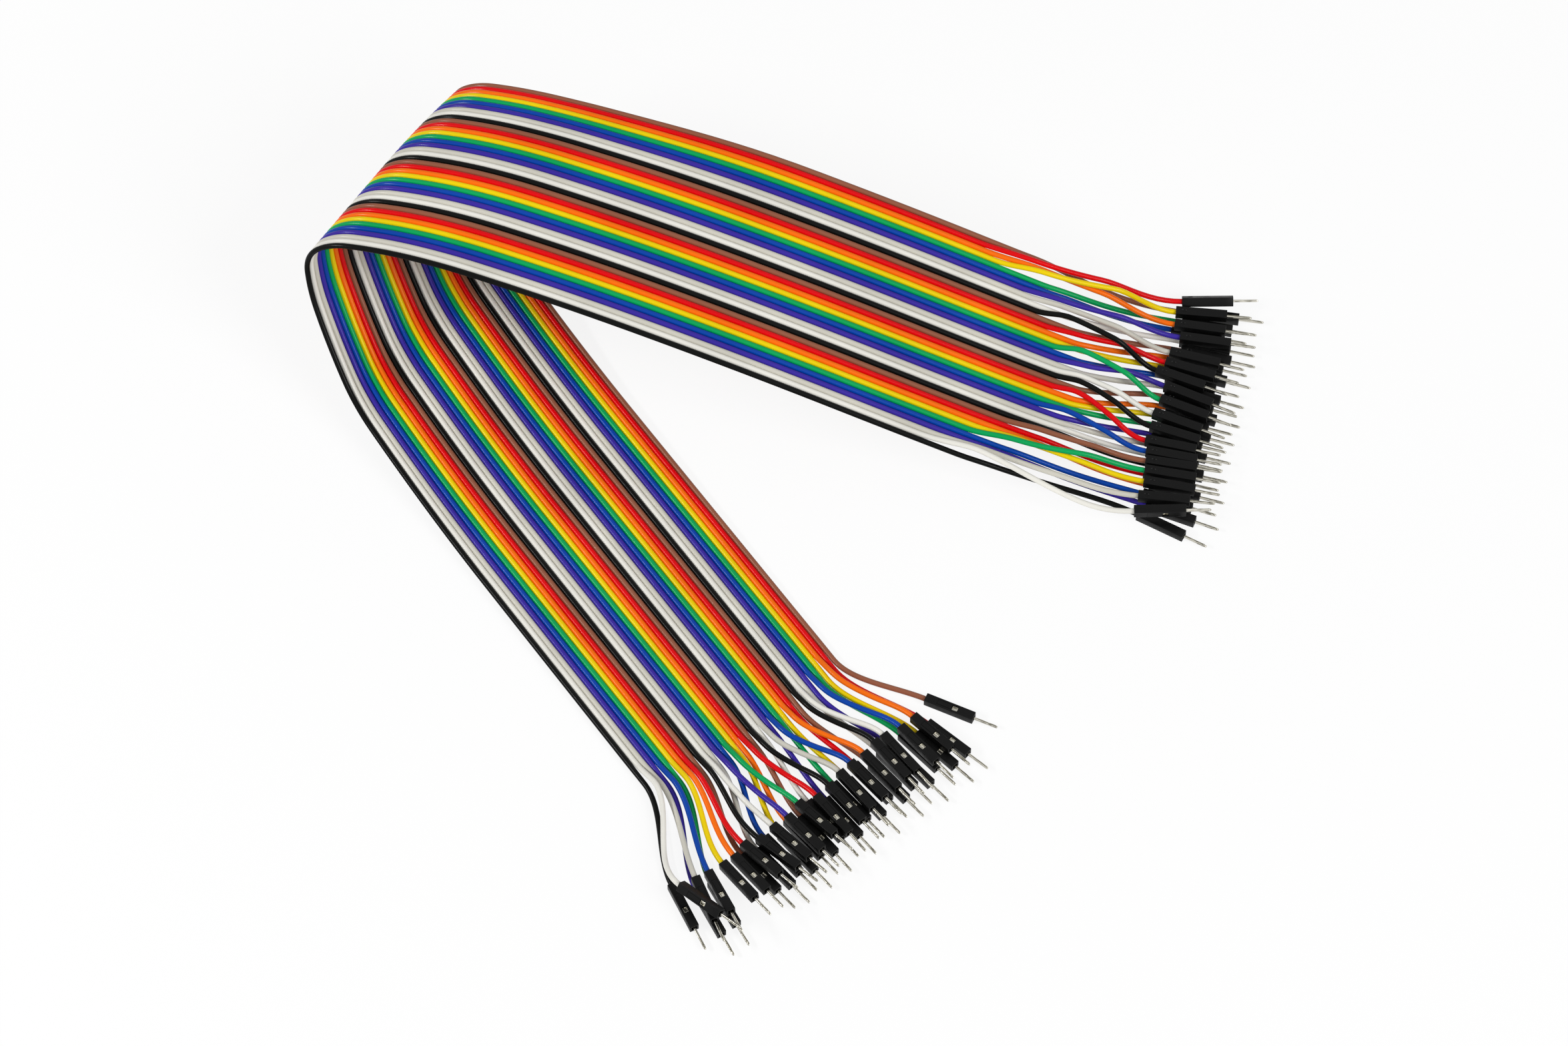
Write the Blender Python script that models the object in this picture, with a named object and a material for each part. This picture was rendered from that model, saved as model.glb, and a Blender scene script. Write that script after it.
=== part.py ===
"""A forty-way rainbow ribbon of male-to-male jumper wires, folded over once and laid flat.

Forty insulated wires lie side by side as one ribbon. The ribbon runs out along the ground, rises, curls over
in one slanting hairpin and comes down again beside itself. Both ends are peeled apart, and each wire ends in a
black single-way crimp housing with a square plated pin. The housings lie heaped two deep, three in two places.

One object is one jumper: a wire fused with its own two housings and two pins. Units are metres, +Z is up, and
the origin is the middle of the object's footprint, on the ground.
"""

import math

import bmesh
import bpy
import numpy as np
from mathutils import Matrix, Vector

MM = 0.001

# Wire and ribbon
WIRE_COUNT = 40
WIRE_PITCH = 1.6 * MM
INSULATION_DIAMETER = 1.5 * MM
WIRE_LENGTH = 448 * MM
WIRE_SIDES_OVER_FOUR = 1

# Crimp housing, its latch window and its mouth
HOUSING_WIDTH = 2.54 * MM
HOUSING_LENGTH = 14 * MM
WINDOW_LENGTH = 1.8 * MM
WINDOW_WIDTH = 1.3 * MM
WINDOW_DEPTH = 0.6 * MM
WINDOW_FROM_MOUTH = 4.6 * MM
MOUTH_WIDTH = 1.5 * MM
MOUTH_DEPTH = 0.5 * MM
WIRE_GRIP = 1.2 * MM

# Crimp terminal's pin
PIN_WIDTH = 0.64 * MM
PIN_REACH = 6.8 * MM
PIN_TAPER = 0.9 * MM
PIN_TIP_WIDTH = 0.34 * MM

# The heap of housings
LANE_GAP = 0.3 * MM
LAYER_GAP = 0.3 * MM
LANE = HOUSING_WIDTH + LANE_GAP
LAYER = HOUSING_WIDTH + LAYER_GAP
CROSSING_LIFT = 1.8 * MM

# The hairpin: where the lower housings' backs lie along it, its crease direction on the ground, and the angle
# between a wire and the crease
LOWER_BACKS = 3 * MM
CREASE_AZIMUTH = math.radians(55.3)
WIRE_TO_CREASE = math.radians(70.3)
# How far the curl's height falls off towards the brown edge, and the shares of the wire's length between which the
# fall fades out
BROWN_FALL = 0.10
FALL_FADE = (0.516, 0.670)
# Distance square to the crease as a share of the wire's length, and the slope there in degrees: 0 runs out,
# 180 runs back
FOLD_HEADINGS = (
    (-0.134, 0),
    (0.223, 1),
    (0.286, 8),
    (0.339, 13),
    (0.371, 42),
    (0.415, 51),
    (0.440, 70),
    (0.460, 133),
    (0.480, 169),
    (0.516, 181),
    (0.551, 190),
    (0.647, 196),
    (0.770, 200),
    (0.837, 199),
    (0.926, 190),
    (1.016, 180),
    (1.161, 180),
)
FOLD_STEP = 0.5 * MM
TURN_PER_SEGMENT = math.radians(22)
RUN_PER_SEGMENT = 105 * MM

# Lengths of wire peeled free, in the middle of the ribbon and at its edges
LOWER_PEEL = (28 * MM, 38 * MM)
UPPER_PEEL = (30 * MM, 64 * MM)
PEEL_STATIONS = (0.25, 0.5, 0.75)
SWERVE_START = 0.22
RISE_END = 0.3
SETTLE_STARTS = (0.3, 0.62, 0.66)

COLOURS = ("black", "white", "grey", "purple", "blue", "green", "yellow", "orange", "red", "brown")
INSULATION = {
    "black": (0.010, 0.010, 0.011),
    "white": (0.82, 0.82, 0.80),
    "grey": (0.60, 0.60, 0.56),
    "purple": (0.075, 0.035, 0.42),
    "blue": (0.003, 0.09, 0.50),
    "green": (0.005, 0.45, 0.12),
    "yellow": (0.90, 0.72, 0.005),
    "orange": (0.90, 0.20, 0.02),
    "red": (0.72, 0.005, 0.015),
    "brown": (0.27, 0.10, 0.065),
}
HOUSING_COLOUR = (0.008, 0.008, 0.009)
PIN_COLOUR = (0.72, 0.70, 0.64)

# One row for each connector, from the black edge to the brown edge: the wire's number, its lane counted from the
# ribbon's middle, how far the housing's back lies past the nominal end in mm, its layer in the heap, its turn
# towards the brown edge, its roll and its nose-up tilt in degrees, and the crossing level of its free wire.
LOWER_END = (
    (1, -15.0, -1.2, 0, -10, 0, 0, 0),
    (2, -15.0, 2.8, 2, 14, 50, 6, 2),
    (3, -13.1, 2.0, 1, -14, 0, 5, 1),
    (4, -13.5, 4.4, 0, -8, 0, 0, 0),
    (5, -11.8, 2.6, 1, -10, 0, 8, 1),
    (6, -11.9, 4.3, 0, -7, 0, 0, 0),
    (7, -10.2, 2.7, 1, 2, 0, 8, 1),
    (8, -8.9, 2.6, 1, 3, 0, 7, 1),
    (9, -7.5, 1.1, 1, 9, 0, 9, 1),
    (10, -7.9, 2.4, 0, 6, 0, 0, 0),
    (11, -6.0, 2.0, 1, 13, 0, 6, 1),
    (12, -4.2, 1.3, 1, 8, 0, 7, 1),
    (13, -6.5, 3.4, 0, 6, 0, 0, 0),
    (14, -2.5, 1.3, 1, 5, 0, 6, 1),
    (15, -5.2, 1.6, 0, 6, 0, 0, 0),
    (16, -0.9, -0.4, 1, 8, 0, 7, 1),
    (17, -3.8, 3.2, 0, 5, 0, 0, 0),
    (18, -2.5, 0.8, 0, 5, 0, 0, 0),
    (19, 0.9, 0.7, 1, 3, 0, 0, 1),
    (20, -1.2, 2.2, 0, 4, 0, 0, 0),
    (21, 2.5, -0.1, 1, 4, 0, 1, 1),
    (22, 0.2, -0.3, 0, 4, 0, 0, 0),
    (23, 4.1, -1.5, 1, 3, 0, 2, 1),
    (24, 1.7, 1.8, 0, 4, 0, 0, 0),
    (25, 5.5, -2.1, 1, 5, 0, 3, 1),
    (26, 3.2, -0.8, 0, 5, 0, 0, 0),
    (27, 4.6, 0.6, 0, 5, 0, 0, 0),
    (28, 7.1, -2.4, 1, 5, 0, 2, 1),
    (29, 6.0, -2.2, 0, 6, 0, 0, 0),
    (30, 7.3, 0.2, 0, 6, 0, 0, 0),
    (31, 8.6, -3.7, 1, 4, 0, 1, 1),
    (32, 9.7, -3.8, 1, 4, 0, 0, 1),
    (33, 8.7, -1.6, 0, 6, 0, 0, 0),
    (34, 10.0, 0.4, 0, 7, 0, 0, 0),
    (35, 11.5, -3.0, 1, 6, 0, 2, 1),
    (36, 11.4, -2.4, 0, 8, 0, 0, 0),
    (37, 12.7, -0.2, 0, 10, 0, 0, 0),
    (38, 13.1, -3.6, 1, 10, 0, 1, 1),
    (39, 14.1, -1.0, 0, 14, 0, 0, 0),
    (40, 15.5, -7.3, 0, 30, 0, 0, 0),
)
UPPER_END = (
    (1, -10.7, 2.5, 0, -14, 180, 0, 0),
    (2, -11.6, 1.8, 2, 16, 90, 0, 2),
    (3, -9.3, 1.5, 1, 7, 180, 2, 1),
    (4, -9.5, 4.0, 0, -7, 180, 0, 0),
    (5, -8.4, 2.2, 0, -4, 180, 0, 0),
    (6, -6.4, 1.3, 1, 4, 180, 0, 2),
    (7, -7.6, 1.9, 1, 3, 180, 0, 1),
    (8, -7.3, 3.4, 0, -1, 180, 0, 0),
    (9, -6.2, 1.0, 0, 0, 180, 0, 0),
    (10, -5.35, 0.8, 1, 5, 180, 0, 1),
    (11, -5.1, 2.7, 0, 0, 180, 0, 0),
    (12, -4.0, 0.6, 0, 0, 180, 0, 0),
    (13, -2.9, 2.2, 0, -1, 180, 0, 0),
    (14, -1.8, 0.2, 0, -1, 180, 0, 0),
    (15, -4.3, 0.2, 1, 3, 180, 0, 1),
    (16, -0.7, 1.8, 0, -2, 180, 0, 0),
    (17, 0.4, 0.5, 0, -2, 180, 0, 0),
    (18, 1.5, 2.0, 0, -3, 180, 0, 0),
    (19, -3.15, -0.8, 1, 1, 180, 1, 1),
    (20, 2.6, 0.4, 0, -3, 180, 0, 0),
    (21, -1.5, -0.5, 1, -6, 180, 2, 1),
    (22, 0.0, -0.8, 1, -8, 180, 0, 1),
    (23, 3.7, 1.6, 0, -3, 180, 0, 0),
    (24, 3.2, 0.2, 1, -10, 180, 0, 1),
    (25, 4.8, -0.5, 0, -3, 180, 0, 0),
    (26, 1.6, 0.1, 1, -9, 180, 1, 2),
    (27, 5.9, 1.8, 0, -2, 180, 0, 0),
    (28, 7.0, 0.0, 0, -1, 180, 0, 0),
    (29, 5.8, -1.4, 1, -4, 180, 0, 1),
    (30, 8.05, 1.5, 0, 0, 180, 0, 0),
    (31, 4.7, -3.2, 1, -8, 180, 1, 2),
    (32, 9.1, 0.5, 0, 1, 180, 0, 0),
    (33, 7.0, -1.0, 1, -1, 180, 0, 1),
    (34, 8.9, 0.5, 1, 5, 180, 1, 1),
    (35, 10.15, -2.6, 0, 2, 180, 0, 0),
    (36, 11.2, -0.5, 0, 3, 180, 0, 0),
    (37, 11.6, -2.6, 1, 9, 180, 0, 2),
    (38, 10.2, -1.9, 1, 5, 180, 1, 1),
    (39, 12.8, -1.7, 1, 14, 135, 2, 1),
    (40, 12.4, 0.5, 0, 6, 180, 0, 0),
)


def smooth(x):
    """Runs from 0 to 1 with level ends as x runs from 0 to 1."""
    x = np.clip(x, 0.0, 1.0)
    return x * x * (3 - 2 * x)


def fold_profile():
    """Distance square to the crease, with the reach, height and slope of the folded ribbon there."""
    distance, heading = np.array(FOLD_HEADINGS, float).T
    distance = distance * WIRE_LENGTH
    steps = np.arange(distance[0], distance[-1], FOLD_STEP)
    slope = np.interp(steps, distance, np.radians(heading))
    reach = np.concatenate(([0.0], np.cumsum(-np.cos((slope[1:] + slope[:-1]) / 2) * FOLD_STEP)))
    height = np.concatenate(([0.0], np.cumsum(np.sin((slope[1:] + slope[:-1]) / 2) * FOLD_STEP)))
    # The far limb comes to rest on the ground where its slope is back to level
    landing = distance[-2]
    apex = steps[np.argmax(height)]
    height -= np.interp(landing, steps, height) * smooth((steps - apex) / (landing - apex))
    height[steps > landing] = 0.0
    return steps, reach, np.maximum(height, 0.0), slope


STEPS, REACH, HEIGHT, SLOPE = fold_profile()
OUTWARD = np.array((math.sin(CREASE_AZIMUTH), -math.cos(CREASE_AZIMUTH)))
CREASE = np.array((math.cos(CREASE_AZIMUTH), math.sin(CREASE_AZIMUTH)))
RIBBON_MIDDLE = (WIRE_COUNT - 1) / 2 * WIRE_PITCH


def crease_distance(along, across):
    """Distance square to the crease of the ribbon's point at this length along and across it."""
    return along * math.sin(WIRE_TO_CREASE) - across * math.cos(WIRE_TO_CREASE)


def ribbon_points(along, across):
    """Points of the ribbon's middle surface, one row for each pair of a length along and across it."""
    along, across = np.broadcast_arrays(np.asarray(along, float), np.asarray(across, float))
    distance = crease_distance(along, across)
    slide = along * math.cos(WIRE_TO_CREASE) + across * math.sin(WIRE_TO_CREASE)
    reach = np.interp(distance, STEPS, REACH)
    side = np.clip((across - RIBBON_MIDDLE) / RIBBON_MIDDLE, 0, None)
    faded = smooth((distance / WIRE_LENGTH - FALL_FADE[0]) / (FALL_FADE[1] - FALL_FADE[0]))
    fall = 1 - BROWN_FALL * side * side * (1 - faded)
    height = np.interp(distance, STEPS, HEIGHT) * fall + INSULATION_DIAMETER / 2
    ground = reach[..., None] * OUTWARD + slide[..., None] * CREASE
    return np.concatenate((ground, height[..., None]), axis=-1)


def fold_stations():
    """Crease distances where a wire needs a point: close together in the curl, far apart on the limbs."""
    effort = np.abs(np.diff(SLOPE)) / TURN_PER_SEGMENT + FOLD_STEP / RUN_PER_SEGMENT
    effort = np.concatenate(([0.0], np.cumsum(effort)))
    return np.interp(np.arange(1, int(effort[-1])), effort, STEPS)


def seat_height(layer, roll):
    """Height of the middle of a housing's back in this layer of the heap."""
    spread = abs(math.cos(math.radians(roll))) + abs(math.sin(math.radians(roll)))
    return layer * LAYER + spread * HOUSING_WIDTH / 2


class End:
    """One peeled end of the ribbon: which way it points, how far it is peeled and where its housings lie."""

    def __init__(self, rows, direction, nominal, peel):
        self.rows = {row[0]: row[1:] for row in rows}
        self.direction = direction
        self.nominal = nominal
        self.peel = peel

    def back(self, number):
        """Length along and across the ribbon of the back of this wire's housing."""
        lane, shift = self.rows[number][:2]
        return self.nominal + self.direction * shift * MM, RIBBON_MIDDLE + lane * LANE

    def peel_start(self, number):
        """Length along the ribbon where this wire leaves it."""
        side = (number - 1) * WIRE_PITCH / RIBBON_MIDDLE - 1
        middle, edge = self.peel
        return self.nominal - self.direction * (middle + (edge - middle) * side * side)

    def frame(self, number):
        """Placement of the connector: its origin at the housing's back, +X towards the pin, +Z the latch side."""
        layer, turn, roll, tilt = self.rows[number][2:6]
        along, across = self.back(number)
        here = ribbon_points(along, across)
        ahead = ribbon_points(along + self.direction * MM, across)
        azimuth = math.atan2(ahead[1] - here[1], ahead[0] - here[0]) + math.radians(turn)
        place = Matrix.Translation((here[0], here[1], seat_height(layer, roll)))
        aim = Matrix.Rotation(azimuth, 4, "Z") @ Matrix.Rotation(-math.radians(tilt), 4, "Y")
        return place @ aim @ Matrix.Rotation(math.radians(roll), 4, "X")

    def free_wire(self, number):
        """Points of the peeled wire, from just past the ribbon to inside the housing."""
        turn, level = self.rows[number][3], self.rows[number][6]
        home = (number - 1) * WIRE_PITCH
        back_along, back_across = self.back(number)
        start = self.peel_start(number)
        part = np.array(PEEL_STATIONS)
        along = start + (back_along - start) * part
        swerve = np.clip((part - SWERVE_START) / (1 - SWERVE_START), 0, 1)
        run = abs(back_along - start) * (1 - SWERVE_START)
        lead_in = run * math.tan(math.radians(turn)) * swerve * swerve * (swerve - 1)
        across = home + (back_across - home) * smooth(swerve) + lead_in
        points = ribbon_points(along, across)
        lifted = points[:, 2] + level * CROSSING_LIFT * smooth(part / RISE_END)
        frame = self.frame(number)
        settle_start = np.interp(level, range(len(SETTLE_STARTS)), SETTLE_STARTS)
        settle = smooth((part - settle_start) / (1 - settle_start))
        points[:, 2] = lifted * (1 - settle) + frame.translation.z * settle
        inside = frame @ Vector((WIRE_GRIP, 0, 0))
        return [Vector(point) for point in points] + [inside]


LOWER = End(LOWER_END, -1, LOWER_BACKS, LOWER_PEEL)
UPPER = End(UPPER_END, 1, LOWER_BACKS + WIRE_LENGTH, UPPER_PEEL)


def wire_route(number):
    """The wire's centre line, from inside its lower housing round the fold to inside its upper one."""
    across = (number - 1) * WIRE_PITCH
    first, last = LOWER.peel_start(number), UPPER.peel_start(number)
    stations = (fold_stations() + across * math.cos(WIRE_TO_CREASE)) / math.sin(WIRE_TO_CREASE)
    margin = RUN_PER_SEGMENT / 8
    stations = [along for along in stations if first + margin < along < last - margin]
    middle = [Vector(point) for point in ribbon_points([first, *stations, last], across)]
    return LOWER.free_wire(number)[::-1] + middle + UPPER.free_wire(number)


def material(name, colour, roughness, metallic=0.0):
    """A Principled material in one colour."""
    made = bpy.data.materials.new(name)
    made.use_nodes = True
    shader = made.node_tree.nodes["Principled BSDF"]
    shader.inputs["Base Color"].default_value = (*colour, 1.0)
    shader.inputs["Roughness"].default_value = roughness
    shader.inputs["Metallic"].default_value = metallic
    made.diffuse_color = (*colour, 1.0)
    return made


def new_object(name, mesh, collection):
    """An object of this mesh in this collection."""
    obj = bpy.data.objects.new(name, mesh)
    collection.objects.link(obj)
    return obj


def guide(obj):
    """Marks a helper that shapes others and isn't part of the model."""
    obj.hide_render = True
    obj.display_type = "WIRE"
    return obj


def box(name, size, centre, paint, collection):
    """A box of this size with its middle here."""
    mesh = bpy.data.meshes.new(name)
    shape = bmesh.new()
    bmesh.ops.create_cube(shape, size=1.0)
    bmesh.ops.scale(shape, vec=size, verts=shape.verts)
    bmesh.ops.translate(shape, vec=centre, verts=shape.verts)
    shape.to_mesh(mesh)
    shape.free()
    mesh.materials.append(paint)
    return new_object(name, mesh, collection)


def join_cut(obj, operation, other):
    """Adds the exact Boolean of this object with another."""
    step = obj.modifiers.new(operation.lower(), "BOOLEAN")
    step.operation = operation
    step.solver = "EXACT"
    step.material_mode = "TRANSFER"
    step.object = other


def settled_mesh(obj, name):
    """The object's mesh with its modifiers worked in."""
    bpy.context.view_layer.update()
    graph = bpy.context.evaluated_depsgraph_get()
    mesh = bpy.data.meshes.new_from_object(obj.evaluated_get(graph))
    mesh.name = name
    return mesh


def pin_solid(paint, cutters):
    """The terminal's square pin, with a tapered tip, rooted in the housing behind the mouth."""
    root = HOUSING_LENGTH - MOUTH_DEPTH - PIN_WIDTH
    tip = HOUSING_LENGTH + PIN_REACH
    shank = tip - PIN_TAPER - root
    pin = box("pin", (shank, PIN_WIDTH, PIN_WIDTH), (root + shank / 2, 0, 0), paint, cutters)
    shape = bmesh.new()
    shape.from_mesh(pin.data)
    shape.faces.ensure_lookup_table()
    front = max(shape.faces, key=lambda face: face.calc_center_median().x)
    moved = bmesh.ops.extrude_discrete_faces(shape, faces=[front])["faces"]
    corners = moved[0].verts
    ratio = PIN_TIP_WIDTH / PIN_WIDTH
    bmesh.ops.translate(shape, vec=(PIN_TAPER, 0, 0), verts=corners)
    bmesh.ops.scale(shape, vec=(1, ratio, ratio), verts=corners)
    shape.to_mesh(pin.data)
    shape.free()
    return pin


def connector_mesh(paint, pin_paint, cutters):
    """The crimp housing with its latch window and mouth, and the pin that stands out of it."""
    size = (HOUSING_LENGTH, HOUSING_WIDTH, HOUSING_WIDTH)
    housing = box("housing", size, (HOUSING_LENGTH / 2, 0, 0), paint, cutters)
    window_size = (WINDOW_LENGTH, WINDOW_WIDTH, 2 * WINDOW_DEPTH)
    window_place = (HOUSING_LENGTH - WINDOW_FROM_MOUTH - WINDOW_LENGTH / 2, 0, HOUSING_WIDTH / 2)
    window = box("window_cutter", window_size, window_place, paint, cutters)
    mouth_size = (2 * MOUTH_DEPTH, MOUTH_WIDTH, MOUTH_WIDTH)
    mouth = box("mouth_cutter", mouth_size, (HOUSING_LENGTH, 0, 0), paint, cutters)
    pin = pin_solid(pin_paint, cutters)
    for helper in (housing, window, mouth, pin):
        guide(helper)
    join_cut(housing, "DIFFERENCE", window)
    join_cut(housing, "DIFFERENCE", mouth)
    join_cut(housing, "UNION", pin)
    return settled_mesh(housing, "connector")


def wire_mesh(name, route, paint, cutters):
    """A round wire along this route, as a closed mesh."""
    path = bpy.data.curves.new(name, "CURVE")
    path.dimensions = "3D"
    path.bevel_depth = INSULATION_DIAMETER / 2
    path.bevel_resolution = WIRE_SIDES_OVER_FOUR
    path.use_fill_caps = True
    spline = path.splines.new("POLY")
    spline.points.add(len(route) - 1)
    for point, place in zip(spline.points, route):
        point.co = (*place, 1.0)
    path.materials.append(paint)
    curve = new_object(name + "_path", path, cutters)
    mesh = settled_mesh(curve, name)
    shape = bmesh.new()
    shape.from_mesh(mesh)
    bmesh.ops.remove_doubles(shape, verts=shape.verts, dist=0.00001)
    shape.to_mesh(mesh)
    shape.free()
    bpy.data.objects.remove(curve)
    return mesh


def jumper(number, connector, paints, parts, cutters):
    """One whole jumper: the wire with a connector on each end."""
    colour = COLOURS[(number - 1) % len(COLOURS)]
    name = f"jumper_{number:02d}_{colour}"
    wire = new_object(name, wire_mesh(name, wire_route(number), paints[colour], cutters), parts)
    for end, label in ((LOWER, "lower"), (UPPER, "upper")):
        plug = guide(new_object(f"{name}_{label}_connector", connector, cutters))
        plug.matrix_world = end.frame(number)
        join_cut(wire, "UNION", plug)
    wire.data = settled_mesh(wire, name)
    wire.modifiers.clear()
    return wire


def stand_on_origin(objects):
    """Moves the model so that the middle of its footprint is at the origin and it rests on the ground."""
    corners = np.array([vertex.co for obj in objects for vertex in obj.data.vertices])
    low, high = corners.min(axis=0), corners.max(axis=0)
    shift = Matrix.Translation((-(low[0] + high[0]) / 2, -(low[1] + high[1]) / 2, -low[2]))
    for obj in objects:
        obj.data.transform(shift)


def main():
    for obj in list(bpy.data.objects):
        bpy.data.objects.remove(obj)
    parts = bpy.data.collections.new("rainbow_jumper_ribbon")
    cutters = bpy.data.collections.new("shaping_helpers")
    bpy.context.scene.collection.children.link(parts)
    bpy.context.scene.collection.children.link(cutters)
    paints = {name: material(name + "_pvc", colour, 0.35) for name, colour in INSULATION.items()}
    housing_paint = material("black_moulded_nylon", HOUSING_COLOUR, 0.55)
    pin_paint = material("plated_brass", PIN_COLOUR, 0.25, metallic=1.0)
    connector = connector_mesh(housing_paint, pin_paint, cutters)
    jumpers = [jumper(number, connector, paints, parts, cutters) for number in range(1, WIRE_COUNT + 1)]
    stand_on_origin(jumpers)


main()
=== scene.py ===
"""Dresses the forty-way rainbow ribbon of jumper wires, folded over once, as it lies in the photograph.

Forty jumpers are bonded side by side. Each one is five pieces here: its extruded insulation, and on each end
a moulded crimp housing with a stamped and plated terminal, whose pin stands out of the mouth and whose box
shows in the latch window. The ribbon runs out along the table, rises, curls over in one slanting hairpin and
comes down beside itself. Its two ends are peeled apart, and their housings lie heaped. Units are metres and
+Z is up.
"""

import logging
import math
from collections.abc import Mapping, Sequence
from dataclasses import dataclass, field
from enum import Enum

import bpy
import numpy as np
from mathutils import Matrix, Vector


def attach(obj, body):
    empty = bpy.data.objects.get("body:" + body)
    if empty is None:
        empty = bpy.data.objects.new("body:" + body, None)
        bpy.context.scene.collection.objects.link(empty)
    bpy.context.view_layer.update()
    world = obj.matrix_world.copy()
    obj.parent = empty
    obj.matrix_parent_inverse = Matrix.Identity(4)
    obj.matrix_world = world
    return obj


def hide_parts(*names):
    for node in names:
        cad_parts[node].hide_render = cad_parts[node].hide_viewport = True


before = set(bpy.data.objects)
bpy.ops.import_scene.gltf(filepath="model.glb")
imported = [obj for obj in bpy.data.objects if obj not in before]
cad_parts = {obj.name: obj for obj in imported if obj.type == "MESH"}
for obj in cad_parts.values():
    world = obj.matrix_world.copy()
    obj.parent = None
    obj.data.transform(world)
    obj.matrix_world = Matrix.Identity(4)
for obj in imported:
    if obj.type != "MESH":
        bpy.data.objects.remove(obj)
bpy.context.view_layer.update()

logging.basicConfig(level=logging.INFO, format="%(message)s")
LOG = logging.getLogger("jumper_ribbon")

MM = 0.001
BODY = "root"
# Angles in degrees above which an edge stays sharp
WIRE_CREASE, HOUSING_CREASE, TERMINAL_CREASE = 60, 35, 50
# A wire's points, the direction across the ribbon at each, and how firmly it is bonded there, from 1 to 0
Course = tuple[np.ndarray, np.ndarray, np.ndarray]


class Insulation(Enum):
    """Insulation colours as sRGB hex values, in the order in which the wires lie from the black edge on."""

    BLACK = "060706"
    WHITE = "E5E3DB"
    GREY = "C8C5BA"
    PURPLE = "382798"
    BLUE = "0041A1"
    GREEN = "00A056"
    YELLOW = "EACC00"
    ORANGE = "F36D06"
    RED = "D80009"
    BROWN = "8E5740"


class Tail(Enum):
    """The ribbon's two peeled ends, each with the direction in which it points along the ribbon."""

    LOWER = -1
    UPPER = 1


@dataclass(frozen=True)
class Berth:
    """Where one connector lies in its heap.

    lane counts from the ribbon's middle, shift is how far the back lies past the nominal end in mm, layer is
    the height in the heap, turn, roll and tilt are degrees towards the brown edge, about the length and
    nose-up, and level says how high the free wire passes over its neighbours.
    """

    lane: float
    shift: float
    layer: int
    turn: float
    roll: float = 0
    tilt: float = 0
    level: int = 0


# One row for each wire, from number 1, the black one at the near edge, to number 40
LOWER_BERTHS = tuple(
    Berth(*row)
    for row in (
        (-15.0, -1.2, 0, -10), (-15.0, 2.8, 2, 14, 50, 6, 2), (-13.1, 2.0, 1, -14, 0, 5, 1),
        (-13.5, 4.4, 0, -8), (-11.8, 2.6, 1, -10, 0, 8, 1), (-11.9, 4.3, 0, -7),
        (-10.2, 2.7, 1, 2, 0, 8, 1), (-8.9, 2.6, 1, 3, 0, 7, 1), (-7.5, 1.1, 1, 9, 0, 9, 1),
        (-7.9, 2.4, 0, 6), (-6.0, 2.0, 1, 13, 0, 6, 1), (-4.2, 1.3, 1, 8, 0, 7, 1), (-6.5, 3.4, 0, 6),
        (-2.5, 1.3, 1, 5, 0, 6, 1), (-5.2, 1.6, 0, 6), (-0.9, -0.4, 1, 8, 0, 7, 1), (-3.8, 3.2, 0, 5),
        (-2.5, 0.8, 0, 5), (0.9, 0.7, 1, 3, 0, 0, 1), (-1.2, 2.2, 0, 4), (2.5, -0.1, 1, 4, 0, 1, 1),
        (0.2, -0.3, 0, 4), (4.1, -1.5, 1, 3, 0, 2, 1), (1.7, 1.8, 0, 4), (5.5, -2.1, 1, 5, 0, 3, 1),
        (3.2, -0.8, 0, 5), (4.6, 0.6, 0, 5), (7.1, -2.4, 1, 5, 0, 2, 1), (6.0, -2.2, 0, 6),
        (7.3, 0.2, 0, 6), (8.6, -3.7, 1, 4, 0, 1, 1), (9.7, -3.8, 1, 4, 0, 0, 1), (8.7, -1.6, 0, 6),
        (10.0, 0.4, 0, 7), (11.5, -3.0, 1, 6, 0, 2, 1), (11.4, -2.4, 0, 8), (12.7, -0.2, 0, 10),
        (13.1, -3.6, 1, 10, 0, 1, 1), (14.1, -1.0, 0, 14), (15.5, -7.3, 0, 30),
    )
)
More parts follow.
